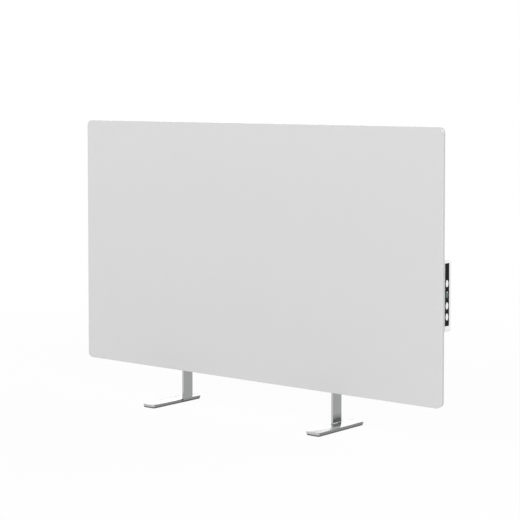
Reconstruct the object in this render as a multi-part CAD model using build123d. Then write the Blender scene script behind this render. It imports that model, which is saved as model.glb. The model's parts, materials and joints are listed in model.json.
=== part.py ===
from build123d import *
import math
import os

# Infrared panel heater that stands on two bent steel legs. Millimetres, +Z up. X runs along the panel,
# the warm front looks along -Y. The origin is on the floor, under the middle of the panel and midway
# between the front and back ends of the feet.

# ---------------------------------------------------------------- driving dimensions: panel
panel_width = 1000.0
panel_height = 565.0
panel_corner_radius = 12.0
floor_gap = 78.0                # floor to the lower edge of the panel
panel_front_y = -4.0            # front face of the glass

glass_thickness = 5.0
glass_front_round = 1.5         # polished round along the front edge of the glass
glass_back_chamfer = 0.6

seal_thickness = 1.0
seal_width = 8.0
seal_inset = 3.0                # the seal stands back from the edge of the glass

casing_depth = 7.0
casing_sheet = 1.0
casing_inset = 1.0              # the casing stands back from the edge of the glass
casing_lip = 10.0               # width of the folded lip that the seal sits on
casing_back_round = 1.5

# ---------------------------------------------------------------- heating layers inside the panel
film_margin = 30.0              # edge of the glass to the edge of the film
film_thickness = 0.3
film_corner_radius = 5.0
track_thickness = 0.2
track_width = 14.0
track_pitch = 24.0
track_border = 12.0             # edge of the film to the edge of the track
bus_bar_width = 8.0
bus_bar_thickness = 0.3
bus_bar_gap = 6.0               # bus bar to the nearest turn of the track
blanket_gap = 0.2               # bus bar to the front of the insulation blanket
blanket_edge_gap = 5.0          # casing lip to the edge of the blanket
blanket_corner_radius = 5.0
blanket_hole_clearance = 1.0    # round the heads of the rivets

lead_radius = 1.2
lead_spacing = 12.0             # between the two heater leads
lead_bend_radius = 4.0
lead_pocket_height = 56.0       # hollow in the blanket for leads, sensor and cut-out
lead_pocket_reach = 60.0        # how far that hollow runs in from the grommet
lead_pocket_edge = 12.0         # and how far it runs past the grommet, towards the panel's edge
sensor_lead_radius = 1.0
cutout_length = 12.0
cutout_height = 8.0
cutout_thickness = 4.0
sensor_length = 7.0
sensor_radius = 1.8

grommet_bore_radius = 8.0
grommet_wall = 2.0
grommet_flange = 1.8            # how far its flanges reach over the sheet
grommet_flange_thickness = 1.2
grommet_inset = 87.5            # left side of the box to the middle of the grommet

# ---------------------------------------------------------------- rails on the back
rail_face_x = 211.0             # middle of the panel to the face that the leg lies on
rail_width = 40.0
rail_depth = 36.0
rail_sheet = 2.0
rail_outer_round = 1.2
rail_length = 405.0
rail_lift = 40.0                # lower edge of the panel to the lower end of the rail
rivet_count = 4
rivet_end_margin = 35.0
rivet_radius = 2.0
rivet_head_radius = 4.0
rivet_head_thickness = 1.2
rivet_tail_radius = 3.2
rivet_tail_thickness = 1.8
keyhole_count = 2
keyhole_spacing = 300.0
keyhole_low = 80.0              # lower end of the rail to the lower keyhole
keyhole_head_radius = 6.0
keyhole_slot_radius = 3.0
keyhole_slot_rise = 12.0

# ---------------------------------------------------------------- legs
leg_thickness = 5.0
post_width = 30.0
post_front_gap = 6.0            # back of the casing to the front edge of the post
post_corner_radius = 8.0
bend_inner_radius = 3.0
foot_length = 160.0
foot_width = 36.0
foot_corner_radius = 6.0
foot_edge_round = 0.8
relief_width = 1.2              # slot beside the bend, so that the sheet doesn't tear
relief_past_bend = 2.0
foot_overlap = 4.0              # how far the foot bar starts short of the end of the bend
pad_thickness = 3.0
pad_inset = 1.5
leg_screw_count = 2
leg_screw_spacing = 120.0
leg_screw_height = 50.0         # lower end of the rail to the lower leg screw
leg_screw_to_top = 25.0         # upper leg screw to the top of the post
screw_radius = 3.0
screw_hole_clearance = 0.3
screw_head_radius = 5.25
screw_head_height = 3.3
screw_socket_radius = 2.3
screw_socket_depth = 1.8
washer_radius = 6.5
washer_thickness = 1.2
nut_across_flats = 10.0
nut_thickness = 5.0
thread_clearance = 0.05         # radius by which a screw stands clear of its thread in the solids

# ---------------------------------------------------------------- control box
box_width = 115.0
box_height = 144.0
box_depth = 25.0
box_wall = 3.0
box_corner_radius = 5.0
box_back_round = 4.6
box_lift = 153.0                # lower edge of the panel to the lower side of the box
base_thickness = 1.6
base_clearance = 0.2
base_rivet_side_margin = 25.0   # outside of the box to the rivets on its left
base_rivet_spacing = 50.0
base_rivet_end_margin = 39.5    # ends of the box to the rivets
base_grommet_clearance = 1.8    # round the grommet's flange
cover_screw_inset = 10.5        # outside of the box to the middle of a cover screw
cover_screw_side_inset = 21.5   # the same on the side of the buttons, clear of their board
cover_screw_radius = 1.5
cover_screw_head_radius = 2.8
cover_screw_head_height = 1.8
cover_screw_length = 18.0
counterbore_radius = 3.4
counterbore_depth = 2.0
base_post_radius = 3.5
base_post_clearance = 0.1

fascia_thickness = 1.5
fascia_width = 15.0
fascia_height = 126.5
fascia_rise = 3.6               # middle of the box to the middle of the fascia
fascia_corner_radius = 1.0
fascia_fit = 0.1
fascia_from_casing = 0.3

button_count = 4
button_pitch = 22.4
button_half_width = 4.7
button_half_height = 7.15
button_proud = 0.5
button_travel = 0.6
button_clearance = 0.15
button_edge_round = 0.4
button_top_drop = 41.0          # top of the fascia to the middle of the top button
button_flange = 1.0
button_flange_thickness = 1.0
button_flange_gap = 0.2
stem_radius = 1.7
stem_clearance = 0.1
stem_spare = 0.05               # room left under the stem when the button is pressed home
stem_in_switch = 0.85
lens_radius = 1.0
lens_clearance = 0.05
lens_rise = 5.2                 # middle of the dark button to its lens

board_thickness = 1.6
button_board_width = 19.0
button_board_from_base = 0.6
board_slot_clearance = 0.1
board_slot_depth = 3.5
board_guide_wall = 2.3
switch_size = 6.0
switch_height = 3.5
switch_to_flange = 1.8          # from the top of the switch to the flange of the button

power_board_width = 70.0
power_board_height = 111.0
power_board_inset = 8.0         # outside of the box to the edge of the power board
power_board_lift = 4.0          # from the base to the board
board_screw_margin = 5.0
board_screw_radius = 1.25
board_screw_head_radius = 2.3
board_screw_head_height = 1.4
board_boss_radius = 3.0

# ---------------------------------------------------------------- things on the power board
# Sizes run along X, Y and Z. Places are along X and Z, from the board's lower left corner to the part's.
relay_size = (12.5, 12.5, 28.0)
relay_place = (34.0, 38.0)
supply_size = (26.0, 12.5, 36.0)
supply_place = (10.0, 70.0)
heater_terminal_size = (13.0, 11.0, 24.0)
heater_terminal_edge = 2.0      # from the terminal to the board's right edge
mains_terminal_size = (24.0, 11.0, 12.0)
mains_terminal_place = (16.0, 2.0)
mains_entry_spacing = 12.0
terminal_hole_radius = 1.8
terminal_hole_depth = 6.0
fuse_radius = 2.6
fuse_length = 20.0
fuse_cap_length = 5.0
fuse_cap_radius = 3.0
fuse_place = (52.0, 14.0)
tilt_switch_radius = 5.5
tilt_switch_height = 11.5
tilt_switch_place = (54.0, 88.0)
component_round = 1.0

# ---------------------------------------------------------------- cable gland
gland_bore_radius = 3.3
gland_thread_radius = 6.0
gland_hole_clearance = 0.1
gland_inset = 35.0              # left side of the box to the middle of the gland
gland_from_casing = 12.0
gland_flats = 16.0
gland_hex_thickness = 5.0
gland_stub_radius = 5.4
gland_stub_length = 9.0
gland_nut_wall_gap = 0.1
gland_nut_length = 16.0
gland_nut_round = 3.5
gland_locknut_thickness = 4.0
gland_thread_spare = 2.0

cut_overrun = 1.0               # how far a cut runs past the faces that it opens

# ---------------------------------------------------------------- derived planes and places
glass_back_y = panel_front_y + glass_thickness
casing_front_y = glass_back_y + seal_thickness
casing_back_y = casing_front_y + casing_depth
casing_floor_y = casing_back_y - casing_sheet      # inner face of the casing's back sheet
panel_mid_z = floor_gap + panel_height / 2
film_back_y = glass_back_y + film_thickness
track_back_y = film_back_y + track_thickness
bus_bar_back_y = track_back_y + bus_bar_thickness

foot_bottom_z = pad_thickness
foot_top_z = foot_bottom_z + leg_thickness
bend_outer_radius = bend_inner_radius + leg_thickness
post_front_y = casing_back_y + post_front_gap
post_back_y = post_front_y + post_width
post_mid_y = (post_front_y + post_back_y) / 2
foot_inner_x = rail_face_x + bend_outer_radius - foot_overlap
foot_outer_x = foot_inner_x + foot_width
foot_mid_x = (foot_inner_x + foot_outer_x) / 2
bend_line_x = rail_face_x + bend_outer_radius      # where the bend meets the flat of the foot
relief_front_y = post_front_y - relief_width
relief_back_y = post_back_y + relief_width

rail_bottom_z = floor_gap + rail_lift
rail_top_z = rail_bottom_z + rail_length
rail_back_y = casing_back_y + rail_depth
rail_inner_x = rail_face_x - rail_width
rail_mid_x = rail_face_x - rail_width / 2
low_leg_screw_z = rail_bottom_z + leg_screw_height
leg_screw_zs = [low_leg_screw_z + n * leg_screw_spacing for n in range(leg_screw_count)]
rivet_pitch = (rail_length - 2 * rivet_end_margin) / (rivet_count - 1)
rivet_zs = [rail_bottom_z + rivet_end_margin + n * rivet_pitch for n in range(rivet_count)]
keyhole_zs = [rail_bottom_z + keyhole_low + n * keyhole_spacing for n in range(keyhole_count)]

box_right_x = panel_width / 2 - button_proud        # outer face of the fascia and of the box
box_left_x = box_right_x - box_width
box_bottom_z = floor_gap + box_lift
box_top_z = box_bottom_z + box_height
box_mid_x = (box_left_x + box_right_x) / 2
box_mid_z = (box_bottom_z + box_top_z) / 2
box_back_y = casing_back_y + box_depth
base_back_y = casing_back_y + base_thickness
cover_wall_inner_x = box_right_x - box_wall         # inner face of the wall behind the fascia
cover_screw_places = [
    (x, z)
    for x in (box_left_x + cover_screw_inset, box_right_x - cover_screw_side_inset)
    for z in (box_bottom_z + cover_screw_inset, box_top_z - cover_screw_inset)
]
base_rivet_left_x = box_left_x + base_rivet_side_margin
base_rivet_places = [
    (x, z)
    for x in (base_rivet_left_x, base_rivet_left_x + base_rivet_spacing)
    for z in (box_bottom_z + base_rivet_end_margin, box_top_z - base_rivet_end_margin)
]

fascia_back_x = box_right_x - fascia_thickness
fascia_mid_y = casing_back_y + fascia_from_casing + fascia_width / 2
fascia_mid_z = box_mid_z + fascia_rise
top_button_z = fascia_mid_z + fascia_height / 2 - button_top_drop
button_zs = [top_button_z - n * button_pitch for n in range(button_count)]
button_names = ["mode_button", "power_button", "plus_button", "minus_button"]
button_face_x = box_right_x + button_proud
flange_front_x = cover_wall_inner_x - button_flange_gap
flange_back_x = flange_front_x - button_flange_thickness
switch_top_x = flange_back_x - switch_to_flange
board_face_x = switch_top_x - switch_height
board_back_x = board_face_x - board_thickness
stem_end_x = switch_top_x - stem_in_switch
well_bottom_x = stem_end_x - button_travel - stem_spare
button_board_front_y = base_back_y + button_board_from_base

grommet_x = box_left_x + grommet_inset
grommet_z = box_mid_z
grommet_hole_radius = grommet_bore_radius + grommet_wall
lead_zs = [grommet_z - lead_spacing / 2, grommet_z + lead_spacing / 2]
power_board_front_y = base_back_y + power_board_lift
power_board_back_y = power_board_front_y + board_thickness
power_board_left_x = box_left_x + power_board_inset
power_board_right_x = power_board_left_x + power_board_width
power_board_bottom_z = box_mid_z - power_board_height / 2
power_board_top_z = box_mid_z + power_board_height / 2
board_screw_places = [
    (x, z)
    for x in (power_board_left_x + board_screw_margin, power_board_right_x - board_screw_margin)
    for z in (power_board_bottom_z + board_screw_margin, power_board_top_z - board_screw_margin)
]

heater_terminal_right_x = power_board_right_x - heater_terminal_edge
lead_back_y = power_board_back_y + heater_terminal_size[1] / 2
lead_end_x = heater_terminal_right_x - terminal_hole_depth / 2
cutout_right_x = grommet_x - lead_pocket_reach / 2

bus_bar_x = panel_width / 2 - film_margin - track_border - bus_bar_width / 2
gland_x = box_left_x + gland_inset
gland_y = casing_back_y + gland_from_casing
gland_hex_bottom_z = box_bottom_z - gland_hex_thickness


# ---------------------------------------------------------------- small helpers
def slab(outline, front_y, back_y):
    """A flat piece: an outline drawn in X and Z, thick from front_y to back_y."""
    drawing = Plane(origin=(0, back_y, 0), x_dir=(1, 0, 0), z_dir=(0, -1, 0))
    return extrude(drawing * outline, back_y - front_y)


def side_slab(outline, low_x, high_x):
    """A piece drawn in Y and Z, thick from low_x to high_x."""
    drawing = Plane(origin=(low_x, 0, 0), x_dir=(0, 1, 0), z_dir=(1, 0, 0))
    return extrude(drawing * outline, high_x - low_x)


def tall(outline, low_z, high_z):
    """A piece drawn in X and Y, tall from low_z to high_z."""
    return extrude(Plane.XY.offset(low_z) * outline, high_z - low_z)


def rod_y(place, radius, front_y, back_y):
    """A round rod along Y through the place (x, z)."""
    return slab(Pos(*place) * Circle(radius), front_y, back_y)


def rod_x(place, radius, low_x, high_x):
    """A round rod along X through the place (y, z)."""
    return side_slab(Pos(*place) * Circle(radius), low_x, high_x)


def rod_z(place, radius, low_z, high_z):
    """A round rod along Z through the place (x, y)."""
    return tall(Pos(*place) * Circle(radius), low_z, high_z)


def box_between(low, high):
    """A box from its low corner to its high corner."""
    size = [high[n] - low[n] for n in range(3)]
    middle = [(high[n] + low[n]) / 2 for n in range(3)]
    return Pos(*middle) * Box(*size)


def hexagon(across_flats):
    """A hexagon outline of a given width across its flats."""
    return RegularPolygon(across_flats / math.sqrt(3), 6)


def mirrored(shape):
    """The same piece on the other side of the middle of the panel."""
    return mirror(shape, about=Plane.YZ)


def group(shapes):
    """Separate solids that share one node."""
    return Compound([solid for shape in shapes for solid in shape.solids()])


def both_sides(shapes):
    """A group of pieces together with their mirror images."""
    return group(list(shapes) + [mirrored(shape) for shape in shapes])


def panel_outline(inset, corner_radius):
    """The panel's rounded outline, brought in all round by an inset."""
    width = panel_width - 2 * inset
    height = panel_height - 2 * inset
    return Pos(0, panel_mid_z) * RectangleRounded(width, height, corner_radius)


def box_outline(inset, corner_radius):
    """The control box's rounded outline as seen from behind, brought in all round by an inset."""
    outline = RectangleRounded(box_width - 2 * inset, box_height - 2 * inset, corner_radius)
    return Pos(box_mid_x, box_mid_z) * outline


# ---------------------------------------------------------------- panel
def make_front_glass():
    """Toughened glass plate with a polished round along its front edge."""
    plate = slab(panel_outline(0, panel_corner_radius), panel_front_y, glass_back_y)
    plate = fillet(plate.faces().sort_by(Axis.Y)[0].edges(), glass_front_round)
    return chamfer(plate.faces().sort_by(Axis.Y)[-1].edges(), glass_back_chamfer)


def make_edge_seal():
    """Silicone frame that bonds the glass to the casing's lip."""
    outer = panel_outline(seal_inset, panel_corner_radius - seal_inset)
    inner = panel_outline(seal_inset + seal_width, film_corner_radius)
    return slab(outer - inner, glass_back_y, casing_front_y)


def make_rear_casing():
    """Folded sheet tray behind the glass, with a lip that turns in all round."""
    corner = panel_corner_radius - casing_inset
    wall_inset = casing_inset + casing_sheet
    tray = slab(panel_outline(casing_inset, corner), casing_front_y, casing_back_y)
    tray = fillet(tray.faces().sort_by(Axis.Y)[-1].edges(), casing_back_round)
    lip_back_y = casing_front_y + casing_sheet
    tray -= slab(panel_outline(wall_inset, corner - casing_sheet), lip_back_y, casing_floor_y)
    lip_opening = panel_outline(casing_inset + casing_lip, film_corner_radius)
    tray -= slab(lip_opening, casing_front_y, lip_back_y)
    tray -= rod_y((grommet_x, grommet_z), grommet_hole_radius, casing_floor_y, casing_back_y)
    for x, z in base_rivet_places:
        tray -= rod_y((x, z), rivet_radius, casing_floor_y, casing_back_y)
    for z in rivet_zs:
        for side in (-1, 1):
            tray -= rod_y((side * rail_mid_x, z), rivet_radius, casing_floor_y, casing_back_y)
    return tray


def make_heating_film():
    """Carrier sheet of the heating element, bonded to the back of the glass."""
    return slab(panel_outline(film_margin, film_corner_radius), glass_back_y, film_back_y)


def track_layout():
    """Height of each run of the heating track, an even number so that both ends come out on one side."""
    usable = panel_height - 2 * (film_margin + track_border) - track_width
    run_count = 2 * (int(usable / track_pitch + 1) // 2)
    lowest = panel_mid_z - (run_count - 1) * track_pitch / 2
    return [lowest + n * track_pitch for n in range(run_count)]


def make_heating_track():
    """Resistive track that runs to and fro over the film."""
    run_zs = track_layout()
    left = -panel_width / 2 + film_margin + track_border
    right = bus_bar_x - bus_bar_width / 2 - bus_bar_gap
    run = Rectangle(right - left, track_width)
    outline = Sketch()
    for z in run_zs:
        outline += Pos((left + right) / 2, z) * run
    for n in range(len(run_zs) - 1):
        turn_x = left + track_width / 2 if n % 2 == 0 else right - track_width / 2
        outline += Pos(turn_x, run_zs[n] + track_pitch / 2) * Rectangle(track_width, track_pitch)
    tail_end = bus_bar_x + bus_bar_width / 2
    for z in (run_zs[0], run_zs[-1]):
        outline += Pos((right + tail_end) / 2, z) * Rectangle(tail_end - right, track_width)
    return slab(outline, film_back_y, track_back_y)


def make_bus_bars():
    """Two copper strips from the ends of the track to the heater leads."""
    run_zs = track_layout()
    bars = []
    outer_ends = (run_zs[0] - track_width / 2, run_zs[-1] + track_width / 2)
    for outer_z, lead_z in zip(outer_ends, lead_zs):
        strip = Rectangle(bus_bar_width, abs(outer_z - lead_z))
        outline = Pos(bus_bar_x, (outer_z + lead_z) / 2) * strip
        bars.append(slab(outline, track_back_y, bus_bar_back_y))
    return group(bars)


def make_insulation_blanket():
    """Insulation between the film and the casing, with a hollow for the leads and holes for the rivets."""
    inset = casing_inset + casing_lip + blanket_edge_gap
    front_y = bus_bar_back_y + blanket_gap
    blanket = slab(panel_outline(inset, blanket_corner_radius), front_y, casing_floor_y)
    pocket_right = grommet_x + lead_pocket_edge
    pocket_left = grommet_x - lead_pocket_reach
    pocket = Rectangle(pocket_right - pocket_left, lead_pocket_height)
    pocket_middle = Pos((pocket_left + pocket_right) / 2, grommet_z)
    blanket -= slab(pocket_middle * pocket, front_y, casing_floor_y)
    clear_radius = rivet_head_radius + blanket_hole_clearance
    for x, z in base_rivet_places:
        blanket -= rod_y((x, z), clear_radius, front_y, casing_floor_y)
    for z in rivet_zs:
        for side in (-1, 1):
            blanket -= rod_y((side * rail_mid_x, z), clear_radius, front_y, casing_floor_y)
    return blanket


def bent_lead(start_x, z, radius):
    """An insulated wire: out along the film, back through the grommet and in to the terminal."""
    front_y = bus_bar_back_y + radius
    route = FilletPolyline(
        (start_x, front_y, z),
        (grommet_x, front_y, z),
        (grommet_x, lead_back_y, z),
        (lead_end_x, lead_back_y, z),
        radius=lead_bend_radius,
    )
    section = Plane(origin=route @ 0, z_dir=route % 0) * Circle(radius)
    return sweep(section, path=route)


# ---------------------------------------------------------------- rails
def make_rail():
    """C-section rail on the right, open towards the middle of the panel."""
    section = Pos(rail_mid_x, casing_back_y + rail_depth / 2) * Rectangle(rail_width, rail_depth)
    rail = tall(section, rail_bottom_z, rail_top_z)
    outer_edges = rail.edges().filter_by(Axis.Z).group_by(Axis.X)[-1]
    rail = fillet(outer_edges, rail_outer_round)
    rail -= box_between(
        (rail_inner_x - cut_overrun, casing_back_y + rail_sheet, rail_bottom_z - cut_overrun),
        (rail_face_x - rail_sheet, rail_back_y - rail_sheet, rail_top_z + cut_overrun),
    )
    for z in rivet_zs:
        rail -= rod_y((rail_mid_x, z), rivet_radius, casing_back_y, casing_back_y + rail_sheet)
    for z in leg_screw_zs:
        hole = screw_radius + screw_hole_clearance
        rail -= rod_x((post_mid_y, z), hole, rail_face_x - rail_sheet, rail_face_x)
    keyhole = Circle(keyhole_head_radius) + Pos(0, keyhole_slot_rise) * Circle(keyhole_slot_radius)
    keyhole += Pos(0, keyhole_slot_rise / 2) * Rectangle(2 * keyhole_slot_radius, keyhole_slot_rise)
    for z in keyhole_zs:
        rail -= slab(Pos(rail_mid_x, z) * keyhole, rail_back_y - rail_sheet, rail_back_y)
    return rail


def make_rivet(place, back_y):
    """Blind rivet through the casing's back sheet: a low head inside and a formed tail at back_y."""
    head = rod_y(place, rivet_head_radius, casing_floor_y - rivet_head_thickness, casing_floor_y)
    head = fillet(head.faces().sort_by(Axis.Y)[0].edges(), rivet_head_thickness / 2)
    tail = rod_y(place, rivet_tail_radius, back_y, back_y + rivet_tail_thickness)
    tail = fillet(tail.faces().sort_by(Axis.Y)[-1].edges(), rivet_tail_thickness / 2)
    return head + rod_y(place, rivet_radius, casing_floor_y, back_y) + tail


# ---------------------------------------------------------------- legs
def make_leg():
    """Right leg: one T-shaped blank, bent so that its arm becomes the post behind the panel."""
    bar = Pos(foot_mid_x, 0) * RectangleRounded(foot_width, foot_length, foot_corner_radius)
    foot = tall(bar, foot_bottom_z, foot_top_z)
    foot = fillet(foot.faces().sort_by(Axis.Z)[-1].edges(), foot_edge_round)
    foot -= box_between(
        (foot_inner_x - cut_overrun, relief_front_y, foot_bottom_z - cut_overrun),
        (bend_line_x, relief_back_y, foot_top_z + cut_overrun),
    )
    slot = Rectangle(relief_past_bend, relief_width)
    for slot_y in (relief_front_y + relief_width / 2, relief_back_y - relief_width / 2):
        middle = Pos(bend_line_x + relief_past_bend / 2, slot_y)
        foot -= tall(middle * slot, foot_bottom_z, foot_top_z)
    corner_z = foot_bottom_z + bend_outer_radius
    bend = Plane.XZ * (
        Pos(bend_line_x, corner_z) * (Circle(bend_outer_radius) - Circle(bend_inner_radius))
        & Pos(bend_line_x - bend_outer_radius / 2, corner_z - bend_outer_radius / 2)
        * Rectangle(bend_outer_radius, bend_outer_radius)
    )
    bend = Pos(0, post_back_y, 0) * extrude(bend, post_width)
    post_top_z = leg_screw_zs[-1] + leg_screw_to_top
    post_face = Rectangle(post_width, post_top_z - corner_z)
    post_outline = Pos(post_mid_y, (corner_z + post_top_z) / 2) * post_face
    post = side_slab(post_outline, rail_face_x, rail_face_x + leg_thickness)
    top_corners = post.edges().filter_by(Axis.X).group_by(Axis.Z)[-1]
    post = fillet(top_corners, post_corner_radius)
    leg = foot + bend + post
    for z in leg_screw_zs:
        hole = screw_radius + screw_hole_clearance
        leg -= rod_x((post_mid_y, z), hole, rail_face_x, rail_face_x + leg_thickness)
    return leg


def make_foot_pad():
    """Rubber strip under the right foot bar."""
    width = foot_width - 2 * pad_inset
    outline = RectangleRounded(width, foot_length - 2 * pad_inset, foot_corner_radius - pad_inset)
    return tall(Pos(foot_mid_x, 0) * outline, 0, foot_bottom_z)


def make_leg_screw(z):
    """Button-head screw from the outside of the right leg into the nut on the rail."""
    seat_x = rail_face_x + leg_thickness + washer_thickness
    head = rod_x((post_mid_y, z), screw_head_radius, seat_x, seat_x + screw_head_height)
    head = fillet(head.faces().sort_by(Axis.X)[-1].edges(), screw_head_height / 2)
    socket = Pos(post_mid_y, z) * RegularPolygon(screw_socket_radius, 6)
    top_x = seat_x + screw_head_height
    head -= side_slab(socket, top_x - screw_socket_depth, top_x)
    end_x = rail_face_x - rail_sheet - nut_thickness
    return head + rod_x((post_mid_y, z), screw_radius - thread_clearance, end_x, seat_x)


def make_leg_washer(z):
    """Washer under the head of a leg screw."""
    face_x = rail_face_x + leg_thickness
    ring = Circle(washer_radius) - Circle(screw_radius + screw_hole_clearance)
    return side_slab(Pos(post_mid_y, z) * ring, face_x, face_x + washer_thickness)


def make_leg_nut(z):
    """Weld nut on the inner side of the rail's web."""
    ring = hexagon(nut_across_flats) - Circle(screw_radius)
    face_x = rail_face_x - rail_sheet
    return side_slab(Pos(post_mid_y, z) * ring, face_x - nut_thickness, face_x)


# ---------------------------------------------------------------- control box
def make_control_base():
    """Plate riveted to the casing, with the posts for the cover and the bosses for the power board."""
    inset = box_wall + base_clearance
    base = slab(box_outline(inset, box_corner_radius - box_wall), casing_back_y, base_back_y)
    post_top_y = box_back_y - box_wall - base_post_clearance
    for place in cover_screw_places:
        base += rod_y(place, base_post_radius, base_back_y, post_top_y)
        base -= rod_y(place, cover_screw_radius, base_back_y, post_top_y)
    for place in board_screw_places:
        base += rod_y(place, board_boss_radius, base_back_y, power_board_front_y)
        base -= rod_y(place, board_screw_radius, base_back_y, power_board_front_y)
    for place in base_rivet_places:
        base -= rod_y(place, rivet_radius, casing_back_y, base_back_y)
    lead_hole = grommet_hole_radius + grommet_flange + base_grommet_clearance
    return base - rod_y((grommet_x, grommet_z), lead_hole, casing_back_y, base_back_y)


def make_control_cover():
    """Moulded cover: open to the panel, recessed for the fascia and grooved for the button board."""
    inner_y = box_back_y - box_wall
    cover = slab(box_outline(0, box_corner_radius), casing_back_y, box_back_y)
    cover = fillet(cover.faces().sort_by(Axis.Y)[-1].edges(), box_back_round)
    cover -= slab(box_outline(box_wall, box_corner_radius - box_wall), casing_back_y, inner_y)
    cover += make_board_guides(inner_y)
    cover -= side_slab(fascia_outline(fascia_fit), fascia_back_x, box_right_x)
    for z in button_zs:
        cover -= side_slab(button_outline(z, button_clearance), cover_wall_inner_x, box_right_x)
    for place in cover_screw_places:
        hole = cover_screw_radius + screw_hole_clearance
        cover -= rod_y(place, hole, inner_y, box_back_y)
        cover -= rod_y(place, counterbore_radius, box_back_y - counterbore_depth, box_back_y)
    gland_hole = gland_thread_radius + gland_hole_clearance
    return cover - rod_z((gland_x, gland_y), gland_hole, box_bottom_z, box_bottom_z + box_wall)


def make_board_guides(inner_y):
    """Two grooved ribs that hold the ends of the button board."""
    low_x = board_back_x - board_slot_clearance - board_guide_wall
    high_x = board_face_x + board_slot_clearance + board_guide_wall
    guides = []
    for wall_z, direction in ((box_bottom_z + box_wall, 1), (box_top_z - box_wall, -1)):
        tip_z = wall_z + direction * board_slot_depth
        low_z, high_z = min(wall_z, tip_z), max(wall_z, tip_z)
        guide = box_between((low_x, button_board_front_y, low_z), (high_x, inner_y, high_z))
        guide -= box_between(
            (board_back_x - board_slot_clearance, button_board_front_y, low_z),
            (board_face_x + board_slot_clearance, inner_y, high_z),
        )
        guides.append(guide)
    return guides


def make_fascia():
    """Glossy strip that lies in the cover's recess, with an oval opening for each button."""
    fascia = side_slab(fascia_outline(0), fascia_back_x, box_right_x)
    for z in button_zs:
        fascia -= side_slab(button_outline(z, button_clearance), fascia_back_x, box_right_x)
    return fascia


def fascia_outline(margin):
    """The fascia's rounded outline, grown all round by a margin."""
    width = fascia_width + 2 * margin
    height = fascia_height + 2 * margin
    return Pos(fascia_mid_y, fascia_mid_z) * RectangleRounded(width, height, fascia_corner_radius + margin)


def button_outline(z, margin):
    """A button's oval, grown all round by a margin."""
    return Pos(fascia_mid_y, z) * Ellipse(button_half_width + margin, button_half_height + margin)


def make_button(z, has_lens):
    """Oval cap with a flange that keeps it in the cover and a stem that works its switch."""
    cap = side_slab(button_outline(z, 0), flange_front_x, button_face_x)
    cap = fillet(cap.faces().sort_by(Axis.X)[-1].edges(), button_edge_round)
    button = cap + side_slab(button_outline(z, button_flange), flange_back_x, flange_front_x)
    if has_lens:
        hole = lens_radius + lens_clearance
        button -= rod_x((fascia_mid_y, z + lens_rise), hole, flange_back_x, button_face_x)
    return button + rod_x((fascia_mid_y, z), stem_radius, stem_end_x, flange_back_x)


def make_indicator_lens():
    """Clear light guide in the dark button, flush with its face."""
    z = button_zs[button_names.index("power_button")] + lens_rise
    return rod_x((fascia_mid_y, z), lens_radius, flange_back_x, button_face_x)


def make_switches():
    """One switch for each button, with a well that guides the stem."""
    body = Rectangle(switch_size, switch_size)
    well_radius = stem_radius + stem_clearance
    switches = []
    for z in button_zs:
        switch = side_slab(Pos(fascia_mid_y, z) * body, board_face_x, switch_top_x)
        switch -= rod_x((fascia_mid_y, z), well_radius, well_bottom_x, switch_top_x)
        switches.append(switch)
    return group(switches)


def make_button_board():
    """Circuit board that stands in the cover's grooves behind the buttons."""
    end_gap = board_slot_clearance
    return box_between(
        (board_back_x, button_board_front_y, box_bottom_z + box_wall + end_gap),
        (board_face_x, button_board_front_y + button_board_width, box_top_z - box_wall - end_gap),
    )


def make_power_board():
    """Circuit board on the base's bosses."""
    board = box_between(
        (power_board_left_x, power_board_front_y, power_board_bottom_z),
        (power_board_right_x, power_board_back_y, power_board_top_z),
    )
    hole = board_screw_radius + screw_hole_clearance
    for place in board_screw_places:
        board -= rod_y(place, hole, power_board_front_y, power_board_back_y)
    return board


def make_board_screw(place):
    """Small screw that holds the power board to a boss."""
    head_top_y = power_board_back_y + board_screw_head_height
    head = rod_y(place, board_screw_head_radius, power_board_back_y, head_top_y)
    shank_radius = board_screw_radius - thread_clearance
    return head + rod_y(place, shank_radius, base_back_y, power_board_back_y)


def make_cover_screw(place):
    """Screw from the back of the cover into a post of the base."""
    seat_y = box_back_y - counterbore_depth
    head = rod_y(place, cover_screw_head_radius, seat_y, seat_y + cover_screw_head_height)
    shank_radius = cover_screw_radius - thread_clearance
    return head + rod_y(place, shank_radius, seat_y - cover_screw_length, seat_y)


# ---------------------------------------------------------------- things on the power board
def on_power_board(size, place):
    """A component's block, standing on the power board at a place from its lower left corner."""
    low = (power_board_left_x + place[0], power_board_back_y, power_board_bottom_z + place[1])
    block = box_between(low, (low[0] + size[0], low[1] + size[1], low[2] + size[2]))
    return fillet(block.faces().sort_by(Axis.Y)[-1].edges(), component_round)


def make_heater_terminal():
    """Three-way terminal block: a wire entry for each lead and a screw well above each."""
    width, depth, height = heater_terminal_size
    low_x = heater_terminal_right_x - width
    low_z = box_mid_z - height / 2
    place = (low_x - power_board_left_x, low_z - power_board_bottom_z)
    block = on_power_board(heater_terminal_size, place)
    entry_end_x = heater_terminal_right_x - terminal_hole_depth
    top_y = power_board_back_y + depth
    well_end_y = top_y - 2 * terminal_hole_radius
    for z in lead_zs + [grommet_z]:
        block -= rod_x((lead_back_y, z), terminal_hole_radius, entry_end_x, heater_terminal_right_x)
        block -= rod_y((low_x + width / 2, z), terminal_hole_radius, well_end_y, top_y)
    return block


def make_mains_terminal():
    """Two-way terminal block over the cable gland, with its wire entries looking down."""
    block = on_power_board(mains_terminal_size, mains_terminal_place)
    low_z = power_board_bottom_z + mains_terminal_place[1]
    mid_x = power_board_left_x + mains_terminal_place[0] + mains_terminal_size[0] / 2
    entry_y = power_board_back_y + mains_terminal_size[1] / 2
    for x in (mid_x - mains_entry_spacing / 2, mid_x + mains_entry_spacing / 2):
        block -= rod_z((x, entry_y), terminal_hole_radius, low_z, low_z + terminal_hole_depth)
    return block


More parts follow.
